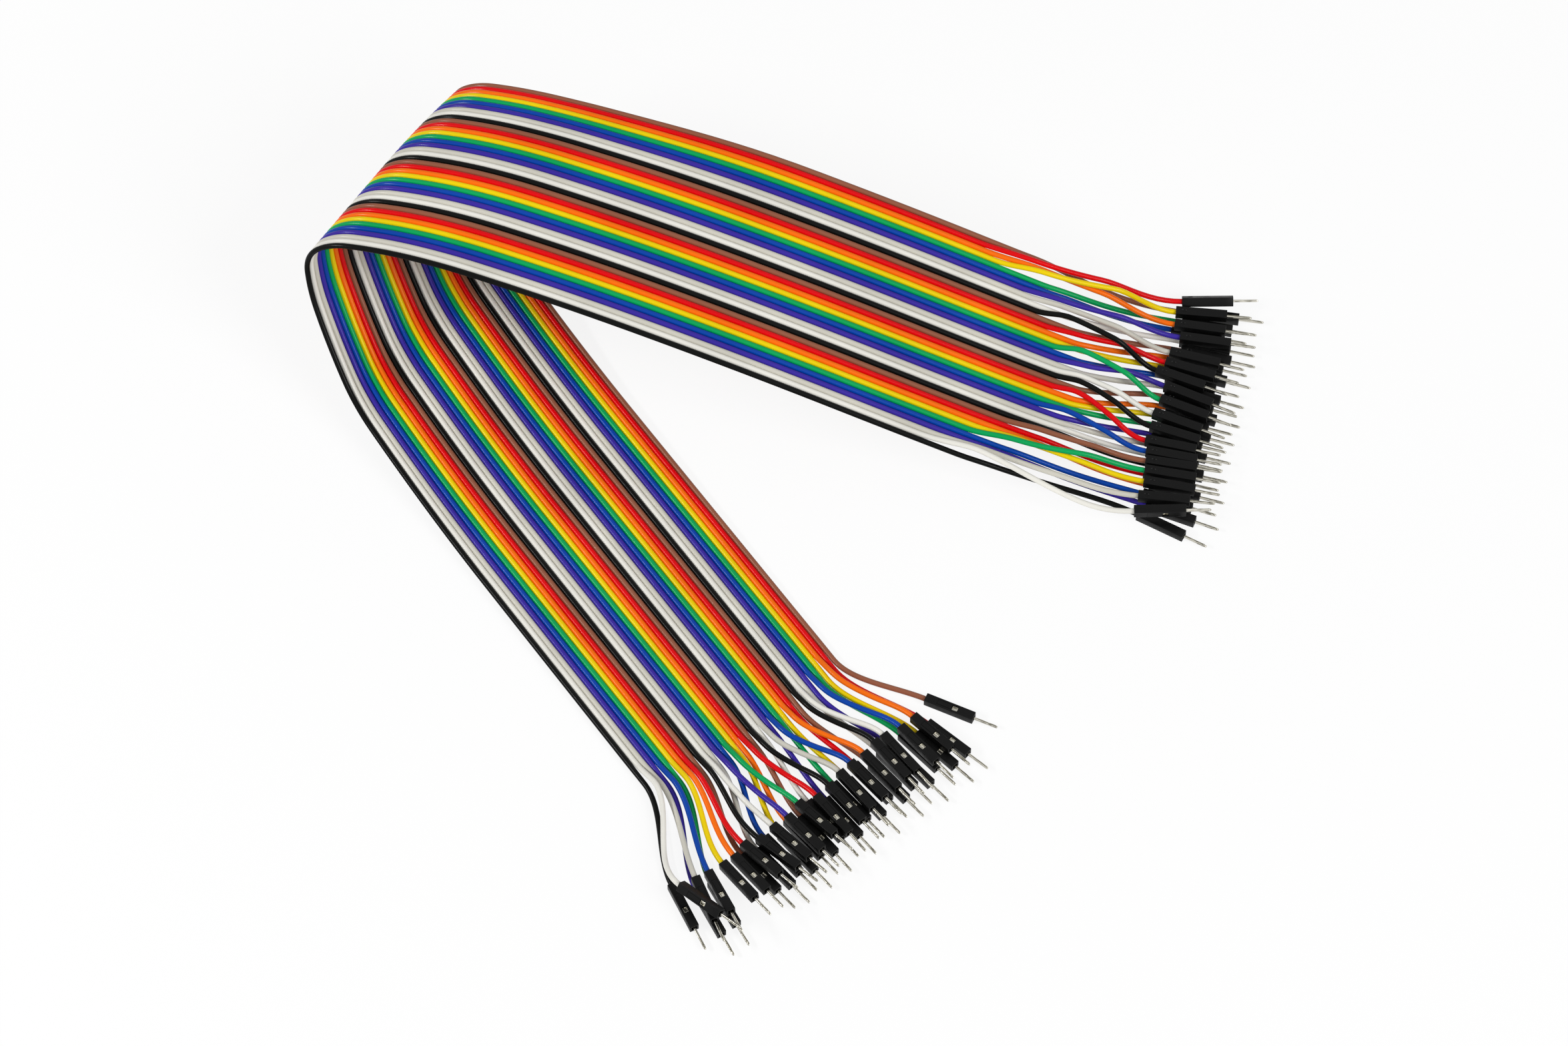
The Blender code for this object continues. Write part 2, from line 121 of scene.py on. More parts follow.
UPPER_BERTHS = tuple(
    Berth(*row)
    for row in (
        (-10.7, 2.5, 0, -14, 180), (-11.6, 1.8, 2, 16, 90, 0, 2), (-9.3, 1.5, 1, 7, 180, 2, 1),
        (-9.5, 4.0, 0, -7, 180), (-8.4, 2.2, 0, -4, 180), (-6.4, 1.3, 1, 4, 180, 0, 2),
        (-7.6, 1.9, 1, 3, 180, 0, 1), (-7.3, 3.4, 0, -1, 180), (-6.2, 1.0, 0, 0, 180),
        (-5.35, 0.8, 1, 5, 180, 0, 1), (-5.1, 2.7, 0, 0, 180), (-4.0, 0.6, 0, 0, 180),
        (-2.9, 2.2, 0, -1, 180), (-1.8, 0.2, 0, -1, 180), (-4.3, 0.2, 1, 3, 180, 0, 1),
        (-0.7, 1.8, 0, -2, 180), (0.4, 0.5, 0, -2, 180), (1.5, 2.0, 0, -3, 180),
        (-3.15, -0.8, 1, 1, 180, 1, 1), (2.6, 0.4, 0, -3, 180), (-1.5, -0.5, 1, -6, 180, 2, 1),
        (0.0, -0.8, 1, -8, 180, 0, 1), (3.7, 1.6, 0, -3, 180), (3.2, 0.2, 1, -10, 180, 0, 1),
        (4.8, -0.5, 0, -3, 180), (1.6, 0.1, 1, -9, 180, 1, 2), (5.9, 1.8, 0, -2, 180),
        (7.0, 0.0, 0, -1, 180), (5.8, -1.4, 1, -4, 180, 0, 1), (8.05, 1.5, 0, 0, 180),
        (4.7, -3.2, 1, -8, 180, 1, 2), (9.1, 0.5, 0, 1, 180), (7.0, -1.0, 1, -1, 180, 0, 1),
        (8.9, 0.5, 1, 5, 180, 1, 1), (10.15, -2.6, 0, 2, 180), (11.2, -0.5, 0, 3, 180),
        (11.6, -2.6, 1, 9, 180, 0, 2), (10.2, -1.9, 1, 5, 180, 1, 1), (12.8, -1.7, 1, 14, 135, 2, 1),
        (12.4, 0.5, 0, 6, 180),
    )
)


def smooth(x: np.ndarray | float) -> np.ndarray:
    """Eases from 0 to 1 with level ends: 3 x squared less 2 x cubed, with x held between 0 and 1.

    Args:
        x: Any numbers.

    Returns:
        The eased numbers, between 0 and 1.
    """
    x = np.clip(x, 0.0, 1.0)
    return x * x * (3 - 2 * x)


def linear(hex_colour: str) -> tuple[float, float, float, float]:
    """Turns an sRGB hex value into the linear colour that a shader's socket holds.

    Args:
        hex_colour: Six hex digits.

    Returns:
        Linear red, green, blue and an alpha of 1.
    """
    shares = [int(hex_colour[i : i + 2], 16) / 255 for i in (0, 2, 4)]
    red, green, blue = (s / 12.92 if s <= 0.04045 else ((s + 0.055) / 1.055) ** 2.4 for s in shares)
    return (red, green, blue, 1.0)


def add_node(
    tree: bpy.types.NodeTree,
    kind: str,
    values: Mapping[str | int, object] | None = None,
    links: Mapping[str | int, bpy.types.NodeSocket] | None = None,
    **options: object,
) -> bpy.types.Node:
    """Adds a node with its options, the values of its sockets and the links that come into it.

    Args:
        tree: The node tree it goes into.
        kind: The node's type name.
        values: A value for each socket named.
        links: An output to feed each socket named.
        **options: The node's own settings.

    Returns:
        The new node.
    """
    node = tree.nodes.new(kind)
    for name, option in options.items():
        setattr(node, name, option)
    for socket, value in (values or {}).items():
        node.inputs[socket].default_value = value
    for socket, source in (links or {}).items():
        tree.links.new(source, node.inputs[socket])
    return node


def new_material(name: str) -> bpy.types.Material:
    """Makes an empty node material.

    Args:
        name: What the material is called.

    Returns:
        The material.
    """
    material = bpy.data.materials.new(name)
    material.use_nodes = True
    material.node_tree.nodes.clear()
    return material


@dataclass(frozen=True)
class Skin:
    """How a surface's gloss and height follow its patterns.

    The roughness goes from its first value to its second between the two values of the gloss pattern in
    gloss_range. The height pattern stands up by depth, weighed by strength.
    """

    roughness: tuple[float, float]
    depth: float
    strength: float
    gloss_range: tuple[float, float] = (0.0, 1.0)

    def shade(
        self,
        material: bpy.types.Material,
        patterns: tuple[bpy.types.NodeSocket, bpy.types.NodeSocket],
        values: Mapping[str, object],
        links: Mapping[str, bpy.types.NodeSocket] | None = None,
    ) -> bpy.types.Material:
        """Gives a material its shader.

        Args:
            material: The material.
            patterns: The patterns of its gloss and of its height.
            values: The shader's other values.
            links: The shader's other links.

        Returns:
            The same material.
        """
        tree = material.node_tree
        ends = zip(("From Min", "From Max", "To Min", "To Max"), (*self.gloss_range, *self.roughness))
        gloss = add_node(tree, "ShaderNodeMapRange", dict(ends), {"Value": patterns[0]})
        relief = {"Strength": self.strength, "Distance": self.depth}
        bump = add_node(tree, "ShaderNodeBump", relief, {"Height": patterns[1]})
        skin = {"Roughness": gloss.outputs["Result"], "Normal": bump.outputs["Normal"], **(links or {})}
        shader = add_node(tree, "ShaderNodeBsdfPrincipled", values, skin)
        add_node(tree, "ShaderNodeOutputMaterial", links={"Surface": shader.outputs["BSDF"]})
        return material


@dataclass(frozen=True)
class ExtrudedPVC:
    """Soft PVC run through a die round the copper: an even satin skin with faint lengthwise die lines.

    It gives the eye a full body colour, one narrow highlight along each wire and a little unevenness in both.
    """

    colour: Insulation
    ior: float = 1.53
    # The skin is slightly chalky, which weakens its gloss
    gloss_level: float = 0.12
    skin: Skin = Skin(roughness=(0.19, 0.26), depth=0.01 * MM, strength=0.15)
    cloud_size: float = 22 * MM
    cloud_range: tuple[float, float] = (0.3, 0.7)
    # The darkest and the palest body, as shares of its colour, and a last lift that shows on black too
    cloud_tones: tuple[float, float] = (0.93, 1.06)
    cloud_lift: float = 0.002
    die_line_length: float = 9 * MM
    # A real die line is a few hundredths of a millimetre wide, which is drawn as coarse as it needs to show
    die_line_width: float = 0.22 * MM

    def material(self) -> bpy.types.Material:
        """Builds the procedural material: clouded colour, lengthwise lines in the bump and the gloss.

        Returns:
            The material.
        """
        material = new_material(f"extruded_pvc_{self.colour.name.lower()}")
        tree = material.node_tree
        place = add_node(tree, "ShaderNodeTexCoord").outputs
        cloud_scale = {"Scale": 1 / self.cloud_size, "Detail": 3.0, "Roughness": 0.55}
        cloud = add_node(tree, "ShaderNodeTexNoise", cloud_scale, {"Vector": place["Object"]})
        tone = add_node(tree, "ShaderNodeValToRGB", links={"Fac": cloud.outputs["Fac"]})
        body = linear(self.colour.value)[:3]
        tints = zip(tone.color_ramp.elements, self.cloud_range, self.cloud_tones, (0.0, self.cloud_lift))
        for stop, position, share, lift in tints:
            stop.position = position
            stop.color = (*(min(part * share + lift, 1.0) for part in body), 1.0)
        stretch = (1 / self.die_line_length, 1 / self.die_line_width, 1.0)
        drawn = add_node(tree, "ShaderNodeMapping", {"Scale": stretch}, {"Vector": place["UV"]})
        line_scale, along = {"Scale": 1.0, "Detail": 2.0}, {"Vector": drawn.outputs["Vector"]}
        lines = add_node(tree, "ShaderNodeTexNoise", line_scale, along).outputs["Fac"]
        values = {"IOR": self.ior, "Specular IOR Level": self.gloss_level}
        return self.skin.shade(material, (lines, lines), values, {"Base Color": tone.outputs["Color"]})


@dataclass(frozen=True)
class MouldedNylon:
    """Black glass-filled nylon from a spark-eroded mould: matt and very dark, with a fine even grain."""

    colour: str = "080808"
    ior: float = 1.53
    # The glass fibres and the grain scatter most of the gloss
    gloss_level: float = 0.11
    skin: Skin = Skin(roughness=(0.32, 0.52), depth=0.015 * MM, strength=0.35, gloss_range=(0.3, 0.7))
    # Spark erosion leaves a grain of some hundredths of a millimetre, drawn coarser so that it shows
    grain_size: float = 0.16 * MM
    rubbed_size: float = 3 * MM

    def material(self) -> bpy.types.Material:
        """Builds the procedural material: a fine bump and a slightly rubbed, uneven gloss.

        Returns:
            The material.
        """
        material = new_material("moulded_nylon_black")
        tree = material.node_tree
        place = {"Vector": add_node(tree, "ShaderNodeTexCoord").outputs["Object"]}
        grain = add_node(tree, "ShaderNodeTexNoise", {"Scale": 1 / self.grain_size, "Detail": 2.0}, place)
        rubbed = add_node(tree, "ShaderNodeTexNoise", {"Scale": 1 / self.rubbed_size, "Detail": 4.0}, place)
        values = {"Base Color": linear(self.colour), "IOR": self.ior, "Specular IOR Level": self.gloss_level}
        return self.skin.shade(material, (rubbed.outputs["Fac"], grain.outputs["Fac"]), values)


@dataclass(frozen=True)
class PlatedPhosphorBronze:
    """Phosphor bronze, stamped, folded and tin plated: a shining, faintly warm metal with drawing scratches.

    The scratches run along the pin and vary its gloss and bump. The same pattern also paints reflections into
    its colour, as light and dark streaks that differ from pin to pin.
    """

    # Painted reflection: the colour streaks between these two tones stand in for dark and light surroundings
    # mirrored in the pin
    painted_dark_reflection: str = "7C796D"
    painted_light_reflection: str = "D2CFC4"
    painted_reflection_range: tuple[float, float] = (0.42, 0.58)
    skin: Skin = Skin(roughness=(0.1, 0.3), depth=0.01 * MM, strength=0.3)
    streak_length: float = 9 * MM
    # A drawing mark is a tenth of a millimetre wide at most, drawn wider so that it shows; the same streaks
    # carry the painted reflection
    streak_width: float = 0.3 * MM
    pin_spacing: float = 2.5 * MM
    pin_difference: float = 3.0

    def material(self) -> bpy.types.Material:
        """Builds the procedural material: a metal whose painted reflection streaks, gloss and bump run along
        the pin.

        Returns:
            The material.
        """
        material = new_material("tin_plated_phosphor_bronze")
        tree = material.node_tree
        place = add_node(tree, "ShaderNodeTexCoord").outputs
        stretch = (1 / self.streak_length, 1 / self.streak_width, 1.0)
        drawn = add_node(tree, "ShaderNodeMapping", {"Scale": stretch}, {"Vector": place["UV"]})
        spacing, where = {"Scale": 1 / self.pin_spacing, "Detail": 0.0}, {"Vector": place["Object"]}
        pin = {0: add_node(tree, "ShaderNodeTexNoise", spacing, where).outputs["Fac"]}
        shuffle = add_node(tree, "ShaderNodeMath", {1: self.pin_difference}, pin, operation="MULTIPLY")
        streak_scale = {"Scale": 1.0, "Detail": 2.0}
        along = {"Vector": drawn.outputs["Vector"], "W": shuffle.outputs[0]}
        marks_and_painted_reflections = add_node(tree, "ShaderNodeTexNoise", streak_scale, along, noise_dimensions="4D").outputs["Fac"]
        # Painted reflection streaks: the colour ramp lays light and dark tones along the pin
        tone = add_node(tree, "ShaderNodeValToRGB", links={"Fac": marks_and_painted_reflections})
        tints = zip(tone.color_ramp.elements, self.painted_reflection_range, (self.painted_dark_reflection, self.painted_light_reflection))
        for stop, position, colour in tints:
            stop.position = position
            stop.color = linear(colour)
        colour = {"Base Color": tone.outputs["Color"]}
        return self.skin.shade(material, (marks_and_painted_reflections, marks_and_painted_reflections), {"Metallic": 1.0}, colour)


@dataclass(frozen=True)
class WhiteSweep:
    """A studio's white paper sweep: it looks white to the camera and in reflections, and keeps the shadow."""

    colour: str = "F7F7F7"
    glow: float = 0.86

    def material(self) -> bpy.types.Material:
        """Builds the floor's material, part glow for the rays that see it and plain paper for all others.

        Returns:
            The material.
        """
        material = new_material("white_paper_sweep")
        tree = material.node_tree
        seen = seen_directly(tree)
        share = add_node(tree, "ShaderNodeMath", {1: self.glow}, {0: seen}, operation="MULTIPLY")
        paper = add_node(tree, "ShaderNodeBsdfDiffuse", {"Color": linear(self.colour)})
        glow = add_node(tree, "ShaderNodeEmission", {"Color": (1.0, 1.0, 1.0, 1.0), "Strength": 1.0})
        both = {0: share.outputs[0], 1: paper.outputs[0], 2: glow.outputs[0]}
        mix = add_node(tree, "ShaderNodeMixShader", links=both)
        add_node(tree, "ShaderNodeOutputMaterial", links={"Surface": mix.outputs[0]})
        return material


def seen_directly(tree: bpy.types.NodeTree) -> bpy.types.NodeSocket:
    """Adds the nodes that say whether a ray comes from the camera, a reflection or a refraction.

    Args:
        tree: The node tree they go into.

    Returns:
        A socket that is 1 for such a ray and 0 for the others.
    """
    path = add_node(tree, "ShaderNodeLightPath").outputs
    seen = path["Is Camera Ray"]
    for kind in ("Is Glossy Ray", "Is Transmission Ray"):
        either = add_node(tree, "ShaderNodeMath", links={0: seen, 1: path[kind]}, operation="MAXIMUM")
        seen = either.outputs[0]
    return seen


@dataclass
class Loft:
    """A closed surface on a grid: rings of points carried along a path, with a fan of triangles at each end.

    rings has one row of points for each ring, and uv one row of surface coordinates in metres with one more
    column than rings, because the seam needs both its values.
    """

    rings: np.ndarray
    uv: np.ndarray

    def moved(self, place: Matrix) -> "Loft":
        """The same surface carried to a placement: each point turned and shifted by its matrix."""
        turn = np.array(place.to_3x3())
        return Loft(self.rings @ turn.T + np.array(place.translation), self.uv)

    def arrays(self) -> tuple[np.ndarray, np.ndarray, np.ndarray, np.ndarray]:
        """Works out the mesh's arrays.

        Ring i and ring i + 1 are joined by quads, and the mean point of the first and of the last ring closes
        them with triangles, so that all the faces point outwards.

        Returns:
            The points, the corner indices, the number of corners of each face, and each corner's UV.
        """
        uv = self.uv
        count, around = self.rings.shape[:2]
        points = np.concatenate((self.rings.reshape(-1, 3), self.rings[[0, -1]].mean(axis=1)))
        row, column = np.meshgrid(np.arange(count - 1), np.arange(around), indexing="ij")
        here, beyond = row * around, (row + 1) * around
        after = (column + 1) % around
        corners = (here + column, here + after, beyond + after, beyond + column)
        quads = np.stack(corners, axis=-1).reshape(-1, 4)
        quad_uv = (uv[row, column], uv[row, column + 1], uv[row + 1, column + 1], uv[row + 1, column])
        one = np.arange(around)
        following = (one + 1) % around
        first = np.stack((np.full(around, count * around), following, one), axis=-1)
        end = (count - 1) * around
        last = np.stack((np.full(around, count * around + 1), end + one, end + following), axis=-1)
        first_uv = (uv[0, one], uv[0, one + 1], uv[0, one])
        last_uv = (uv[-1, one], uv[-1, one], uv[-1, one + 1])
        corners = np.concatenate((quads.ravel(), first.ravel(), last.ravel()))
        totals = np.concatenate((np.full(len(quads), 4), np.full(2 * around, 3)))
        sides = [np.stack(side, axis=-2).reshape(-1, 2) for side in (quad_uv, first_uv, last_uv)]
        return points, corners, totals, np.concatenate(sides)


def add_object(name: str, data: bpy.types.ID) -> bpy.types.Object:
    """Links a new object to the scene.

    Args:
        name: Its name.
        data: Its mesh, light or camera.

    Returns:
        The object.
    """
    obj = bpy.data.objects.new(name, data)
    bpy.context.scene.collection.objects.link(obj)
    return obj


def make_piece(
    name: str, lofts: Sequence[Loft], finish: bpy.types.Material, crease: float
) -> bpy.types.Object:
    """Makes one object of one or more closed surfaces, with its place in its mesh.

    Args:
        name: The object's name.
        lofts: The closed surfaces that it is made of.
        finish: Its material.
        crease: The angle in degrees above which an edge stays sharp.

    Returns:
        The new object, linked to the scene.
    """
    base, parts = 0, []
    for loft in lofts:
        points, corners, totals, places = loft.arrays()
        parts.append((points, corners + base, totals, places))
        base += len(points)
    points, corners, totals, places = (np.concatenate(part) for part in zip(*parts))
    mesh = bpy.data.meshes.new(name)
    mesh.vertices.add(len(points))
    mesh.loops.add(len(corners))
    mesh.polygons.add(len(totals))
    mesh.vertices.foreach_set("co", points.ravel().astype(np.float32))
    mesh.loops.foreach_set("vertex_index", corners.astype(np.int32))
    starts = np.concatenate(([0], np.cumsum(totals)[:-1]))
    mesh.polygons.foreach_set("loop_start", starts.astype(np.int32))
    mesh.update(calc_edges=True)
    layer = mesh.uv_layers.new(name="surface")
    layer.data.foreach_set("uv", places.ravel().astype(np.float32))
    mesh.materials.append(finish)
    mesh.shade_smooth()
    mesh.set_sharp_from_angle(angle=math.radians(crease))
    return add_object(name, mesh)


@dataclass
class Ribbon:
    """The bonded ribbon's middle surface, folded over once along a slanting crease."""

    wire_count: int = 40
    pitch: float = 1.6 * MM
    diameter: float = 1.5 * MM
    wire_length: float = 448 * MM
    lower_backs: float = 3 * MM
    crease_azimuth: float = math.radians(55.3)
    wire_to_crease: float = math.radians(70.3)
    brown_fall: float = 0.10
    fall_fade: tuple[float, float] = (0.516, 0.670)
    # Distance square to the crease as a share of the wire's length, and the slope there in degrees
    headings: tuple[tuple[float, float], ...] = (
        (-0.134, 0), (0.223, 1), (0.286, 8), (0.339, 13), (0.371, 42), (0.415, 51),
        (0.440, 70), (0.460, 133), (0.480, 169), (0.516, 181), (0.551, 190), (0.647, 196),
        (0.770, 200), (0.837, 199), (0.926, 190), (1.016, 180), (1.161, 180),
    )
    step: float = 0.5 * MM
    turn_per_station: float = math.radians(4)
    run_per_station: float = 7 * MM
    # Middle of the whole model's footprint in the ribbon's own frame
    footprint_middle: tuple[float, float] = (-30.423 * MM, 131.853 * MM)
    steps: np.ndarray = field(init=False)
    reach: np.ndarray = field(init=False)
    height: np.ndarray = field(init=False)
    slope: np.ndarray = field(init=False)

    def __post_init__(self) -> None:
        """Integrates the slopes into the fold's profile.

        Reach is the running sum of minus the slope's cosine and height that of its sine. Past the top, what
        is left of the height at the landing is taken off smoothly, so that the far limb rests on the table.
        """
        distance, heading = np.array(self.headings, float).T
        distance = distance * self.wire_length
        self.steps = np.arange(distance[0], distance[-1], self.step)
        self.slope = np.interp(self.steps, distance, np.radians(heading))
        mean = (self.slope[1:] + self.slope[:-1]) / 2
        self.reach = np.concatenate(([0.0], np.cumsum(-np.cos(mean) * self.step)))
        height = np.concatenate(([0.0], np.cumsum(np.sin(mean) * self.step)))
        landing = distance[-2]
        apex = self.steps[np.argmax(height)]
        spare = np.interp(landing, self.steps, height)
        height = height - spare * smooth((self.steps - apex) / (landing - apex))
        height[self.steps > landing] = 0.0
        self.height = np.maximum(height, 0.0)

    @property
    def middle(self) -> float:
        """Half the distance between the two outermost wires."""
        return (self.wire_count - 1) / 2 * self.pitch

    def points(self, along: np.ndarray | float, across: np.ndarray | float) -> np.ndarray:
        """Points of the middle surface.

        The distance square to the crease picks the reach and the height, and the distance along it is kept.
        Towards the brown edge the curl is lower by a share that grows as the square of the way there.

        Args:
            along: Lengths along the ribbon.
            across: Distances across it from the black wire.

        Returns:
            One row of x, y and z for each pair.
        """
        along, across = np.broadcast_arrays(np.asarray(along, float), np.asarray(across, float))
        sine, cosine = math.sin(self.wire_to_crease), math.cos(self.wire_to_crease)
        distance = along * sine - across * cosine
        slide = along * cosine + across * sine
        side = np.clip((across - self.middle) / self.middle, 0, None)
        start, end = self.fall_fade
        faded = smooth((distance / self.wire_length - start) / (end - start))
        fall = 1 - self.brown_fall * side * side * (1 - faded)
        height = np.interp(distance, self.steps, self.height) * fall + self.diameter / 2
        outward = np.array((math.sin(self.crease_azimuth), -math.cos(self.crease_azimuth)))
        crease = np.array((math.cos(self.crease_azimuth), math.sin(self.crease_azimuth)))
        reach = np.interp(distance, self.steps, self.reach)
        ground = reach[..., None] * outward + slide[..., None] * crease - np.array(self.footprint_middle)
        return np.concatenate((ground, height[..., None]), axis=-1)

    def sideways(self, along: np.ndarray, across: np.ndarray | float) -> np.ndarray:
        """The direction from the black edge to the brown one, nearly of unit length, from two near points."""
        near = 0.05 * MM
        return (self.points(along, across + near) - self.points(along, across - near)) / (2 * near)

    def stations(self, across: float, first: float, last: float) -> np.ndarray:
        """Lengths at which a wire gets a ring: close together in the curl, further apart on the limbs.

        Args:
            across: How far across the ribbon the wire lies.
            first: The length where its bonded stretch starts.
            last: The length where it ends.

        Returns:
            The lengths, from first to last.
        """
        effort = np.abs(np.diff(self.slope)) / self.turn_per_station + self.step / self.run_per_station
        effort = np.concatenate(([0.0], np.cumsum(effort)))
        distance = np.interp(np.arange(1, int(effort[-1])), effort, self.steps)
        along = (distance + across * math.cos(self.wire_to_crease)) / math.sin(self.wire_to_crease)
        margin = self.run_per_station / 4
        inner = along[(along > first + margin) & (along < last - margin)]
        return np.concatenate(([first], inner, [last]))


@dataclass
class PeeledEnd:
    """One peeled end of the ribbon, with the berths of its forty connectors."""

    ribbon: Ribbon
    tail: Tail
    berths: tuple[Berth, ...]
    nominal: float
    peel_middle: float
    peel_edge: float
    housing_width: float = 2.54 * MM
    lane_gap: float = 0.3 * MM
    crossing_lift: float = 1.8 * MM
    swerve_start: float = 0.22
    rise_end: float = 0.3
    settle_starts: tuple[float, ...] = (0.3, 0.62, 0.66)
    wire_grip: float = 1.2 * MM
    free_stations: int = 26

    def berth(self, number: int) -> Berth:
        """The berth of this wire's connector."""
        return self.berths[number - 1]

    def back(self, number: int) -> tuple[float, float]:
        """Finds the back of this wire's housing, along and across the ribbon.

        Args:
            number: The wire's number.

        Returns:
            The two lengths.
        """
        berth = self.berth(number)
        lane = self.housing_width + self.lane_gap
        return self.nominal + self.tail.value * berth.shift * MM, self.ribbon.middle + berth.lane * lane

    def peel_start(self, number: int) -> float:
        """Finds where along the ribbon this wire leaves it: a parabola across the ribbon.

        Args:
            number: The wire's number.

        Returns:
            The length.
        """
        side = (number - 1) * self.ribbon.pitch / self.ribbon.middle - 1
        peel = self.peel_middle + (self.peel_edge - self.peel_middle) * side * side
        return self.nominal - self.tail.value * peel

    def frame(self, number: int) -> Matrix:
        """Places a connector: its origin at the housing's back, +X to the pin, +Z the latch side.

        Args:
            number: The wire's number.

        Returns:
            The matrix.
        """
        berth = self.berth(number)
        along, across = self.back(number)
        here = self.ribbon.points(along, across)
        ahead = self.ribbon.points(along + self.tail.value * MM, across)
        azimuth = math.atan2(ahead[1] - here[1], ahead[0] - here[0]) + math.radians(berth.turn)
        roll = math.radians(berth.roll)
        spread = abs(math.cos(roll)) + abs(math.sin(roll))
        seat = berth.layer * (self.housing_width + self.lane_gap) + spread * self.housing_width / 2
        place = Matrix.Translation((here[0], here[1], seat))
        aim = Matrix.Rotation(azimuth, 4, "Z") @ Matrix.Rotation(-math.radians(berth.tilt), 4, "Y")
        return place @ aim @ Matrix.Rotation(roll, 4, "X")

    def free_wire(self, number: int) -> Course:
        """The peeled wire, from just past the ribbon to inside its housing.

        It swerves from its place in the ribbon to its berth on an eased curve whose last direction is the
        housing's, rises to its crossing level, and settles to the height of the housing's back.

        Args:
            number: The wire's number.

        Returns:
            The wire's course.
        """
        berth = self.berth(number)
        home = (number - 1) * self.ribbon.pitch
        back_along, back_across = self.back(number)
        start = self.peel_start(number)
        part = np.linspace(0, 1, self.free_stations + 1)[1:]
        along = start + (back_along - start) * part
        swerve = np.clip((part - self.swerve_start) / (1 - self.swerve_start), 0, 1)
        run = abs(back_along - start) * (1 - self.swerve_start)
        lead_in = run * math.tan(math.radians(berth.turn)) * swerve * swerve * (swerve - 1)
        across = home + (back_across - home) * smooth(swerve) + lead_in
        points = self.ribbon.points(along, across)
        sideways = self.ribbon.sideways(along, across)
        settle_start = self.settle_starts[berth.level]
        settle = smooth((part - settle_start) / (1 - settle_start))
        place = self.frame(number)
        lifted = points[:, 2] + berth.level * self.crossing_lift * smooth(part / self.rise_end)
        points[:, 2] = lifted * (1 - settle) + place.translation.z * settle
        inside = np.array(place @ Vector((self.wire_grip, 0, 0)))
        points = np.concatenate((points, inside[None]))
        sideways = np.concatenate((sideways, sideways[-1:]))
        bond = np.append(1 - smooth(part / self.swerve_start), 0.0)
        return points, sideways, bond


@dataclass
class InsulatedWire:
    """One wire's extruded insulation: round where it is free, with a thin web on both sides where bonded."""

    ribbon: Ribbon
    number: int
    web: float = 0.056 * MM
    web_spread: float = 0.22
    angles: tuple[float, ...] = (0, 8, 18, 34, 52, 71, 90, 109, 128, 146, 162, 172)

    def route(self, lower: PeeledEnd, upper: PeeledEnd) -> Course:
        """Leads the wire from inside its lower housing round the fold to inside its upper one.

        Args:
            lower: The lower peeled end.
            upper: The upper peeled end.

        Returns:
            The wire's course.
        """
        across = (self.number - 1) * self.ribbon.pitch
        along = self.ribbon.stations(across, lower.peel_start(self.number), upper.peel_start(self.number))
        sideways = self.ribbon.sideways(along, across)
        bonded = (self.ribbon.points(along, across), sideways, np.ones(len(along)))
        before = [values[::-1] for values in lower.free_wire(self.number)]
        after = upper.free_wire(self.number)
        return tuple(np.concatenate(three) for three in zip(before, bonded, after))

    def surface(self, course: Course) -> Loft:
        """Carries the profile along the wire.

        The radius at an angle is the insulation's, and where the wire is bonded it grows by the web's width
        times the exponential of minus the squared sine over the web's spread, so that it meets its neighbour.

        Args:
            course: The wire's course.

        Returns:
            The closed surface.
        """
        points, sideways, bond = course
        ahead = np.gradient(points, axis=0)
        ahead /= np.linalg.norm(ahead, axis=1, keepdims=True)
        side = sideways - (sideways * ahead).sum(axis=1, keepdims=True) * ahead
        side /= np.linalg.norm(side, axis=1, keepdims=True)
        lift = np.cross(ahead, side)
        angle = np.radians(np.concatenate((self.angles, np.array(self.angles) + 180)))
        web = self.web * bond[:, None] * np.exp(-((np.sin(angle) / self.web_spread) ** 2))
        radius = self.ribbon.diameter / 2 + web
        offset = np.cos(angle)[:, None] * side[:, None, :] + np.sin(angle)[:, None] * lift[:, None, :]
        rings = points[:, None, :] + radius[..., None] * offset
        length = np.concatenate(([0.0], np.cumsum(np.linalg.norm(np.diff(points, axis=0), axis=1))))
        girth = np.append(angle, 2 * math.pi) * self.ribbon.diameter / 2
        uv = np.stack(np.meshgrid(length, girth, indexing="ij"), axis=-1)
        return Loft(rings, uv)


